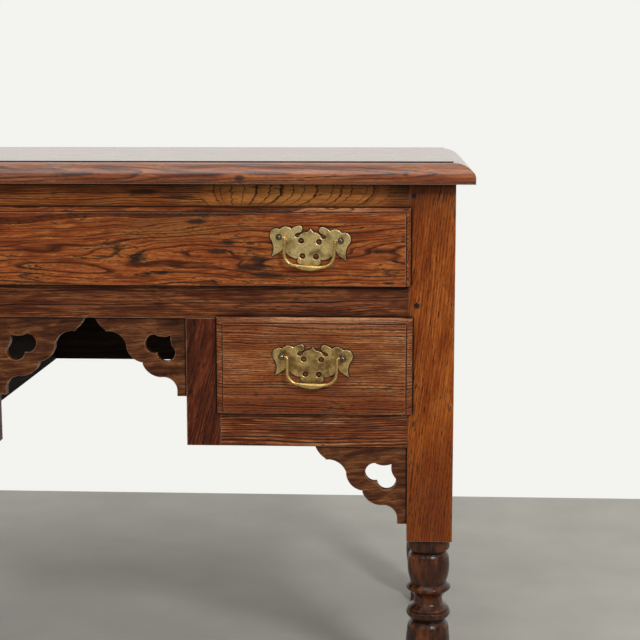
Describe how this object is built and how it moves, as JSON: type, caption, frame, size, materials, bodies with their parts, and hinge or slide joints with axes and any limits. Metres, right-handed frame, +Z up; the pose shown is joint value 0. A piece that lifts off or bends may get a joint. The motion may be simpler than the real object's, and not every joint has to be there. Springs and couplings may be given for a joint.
{
  "type": "lowboy",
  "caption": "Oak lowboy dressing table with a moulded top, turned legs, a long drawer over small drawers, a kneehole, pierced brackets and brass bail handles.",
  "frame": {"origin": "on the floor, under the middle of the top", "axes": "+Z up, +X to the right of someone facing the drawers, -Y out of the front"},
  "size_m": [0.9624, 0.507, 0.711],
  "materials": {
    "oak_top": "waxed",
    "oak_legs": "waxed",
    "oak_rails": "waxed",
    "oak_drawer_fronts": "waxed",
    "oak_brackets": "waxed",
    "oak_pegs": "waxed",
    "oak_sides": "waxed",
    "oak_inside": "dry, unpolished",
    "brass": "aged, with worn edges"
  },
  "bodies": {
    "carcase": {"front_right_leg": "oak_legs", "rear_right_leg": "oak_legs", "right_side_panel": "oak_sides", "right_lower_rail": "oak_rails", "right_kneehole_stile": "oak_rails", "right_partition": "oak_inside", "right_kneehole_bracket": "oak_brackets", "right_leg_bracket": "oak_brackets", "front_left_leg": "oak_legs", "rear_left_leg": "oak_legs", "left_side_panel": "oak_sides", "left_lower_rail": "oak_rails", "left_kneehole_stile": "oak_rails", "left_partition": "oak_inside", "left_kneehole_bracket": "oak_brackets", "left_leg_bracket": "oak_brackets", "long_drawer_runners": "oak_inside", "long_drawer_kickers": "oak_inside", "small_drawer_runners": "oak_inside", "small_drawer_kickers": "oak_inside", "drawer_guides": "oak_inside", "front_pegs": "oak_pegs", "side_pegs": "oak_pegs", "top_front_board": "oak_top", "top_rear_board": "oak_top", "frieze_rail": "oak_rails", "middle_rail": "oak_rails", "back_lower_board": "oak_sides", "back_upper_board": "oak_sides", "top_glue_blocks": "oak_inside"},
    "long_drawer": {"long_drawer_front": "oak_drawer_fronts", "long_drawer_left_side": "oak_inside", "long_drawer_right_side": "oak_inside", "long_drawer_back": "oak_inside", "long_drawer_bottom": "oak_inside", "long_right_handle_plate": "brass", "long_right_handle_posts": "brass", "long_left_handle_plate": "brass", "long_left_handle_posts": "brass", "long_drawer_nuts": "brass"},
    "right_drawer": {"right_drawer_front": "oak_drawer_fronts", "right_drawer_left_side": "oak_inside", "right_drawer_right_side": "oak_inside", "right_drawer_back": "oak_inside", "right_drawer_bottom": "oak_inside", "right_handle_plate": "brass", "right_handle_posts": "brass", "right_drawer_nuts": "brass"},
    "left_drawer": {"left_drawer_front": "oak_drawer_fronts", "left_drawer_left_side": "oak_inside", "left_drawer_right_side": "oak_inside", "left_drawer_back": "oak_inside", "left_drawer_bottom": "oak_inside", "left_handle_plate": "brass", "left_handle_posts": "brass", "left_drawer_nuts": "brass"},
    "long_right_bail": {"long_right_handle_bail": "brass"},
    "long_left_bail": {"long_left_handle_bail": "brass"},
    "right_bail": {"right_handle_bail": "brass"},
    "left_bail": {"left_handle_bail": "brass"}
  },
  "joints": [
    {"name": "long_drawer_slide", "type": "slide", "parent": "carcase", "child": "long_drawer", "axis": [0, -1, 0], "range_m": [0, 0.32]},
    {"name": "right_drawer_slide", "type": "slide", "parent": "carcase", "child": "right_drawer", "axis": [0, -1, 0], "range_m": [0, 0.32]},
    {"name": "left_drawer_slide", "type": "slide", "parent": "carcase", "child": "left_drawer", "axis": [0, -1, 0], "range_m": [0, 0.32]},
    {"name": "long_right_bail_hinge", "type": "hinge", "parent": "long_drawer", "child": "long_right_bail", "pos_m": [0.27915, -0.2484, 0.6168], "axis": [-0.9983, 0, 0.0576], "range_deg": [-7.5, 187]},
    {"name": "long_left_bail_hinge", "type": "hinge", "parent": "long_drawer", "child": "long_left_bail", "pos_m": [-0.27915, -0.2484, 0.6168], "axis": [-1, 0, 0], "range_deg": [-7.5, 187]},
    {"name": "right_bail_hinge", "type": "hinge", "parent": "right_drawer", "child": "right_bail", "pos_m": [0.2818, -0.2484, 0.46905], "axis": [-0.9997, 0, 0.0244], "range_deg": [-7.5, 187]},
    {"name": "left_bail_hinge", "type": "hinge", "parent": "left_drawer", "child": "left_bail", "pos_m": [-0.2818, -0.2484, 0.46905], "axis": [-1, 0, 0], "range_deg": [-7.5, 187]}
  ]
}
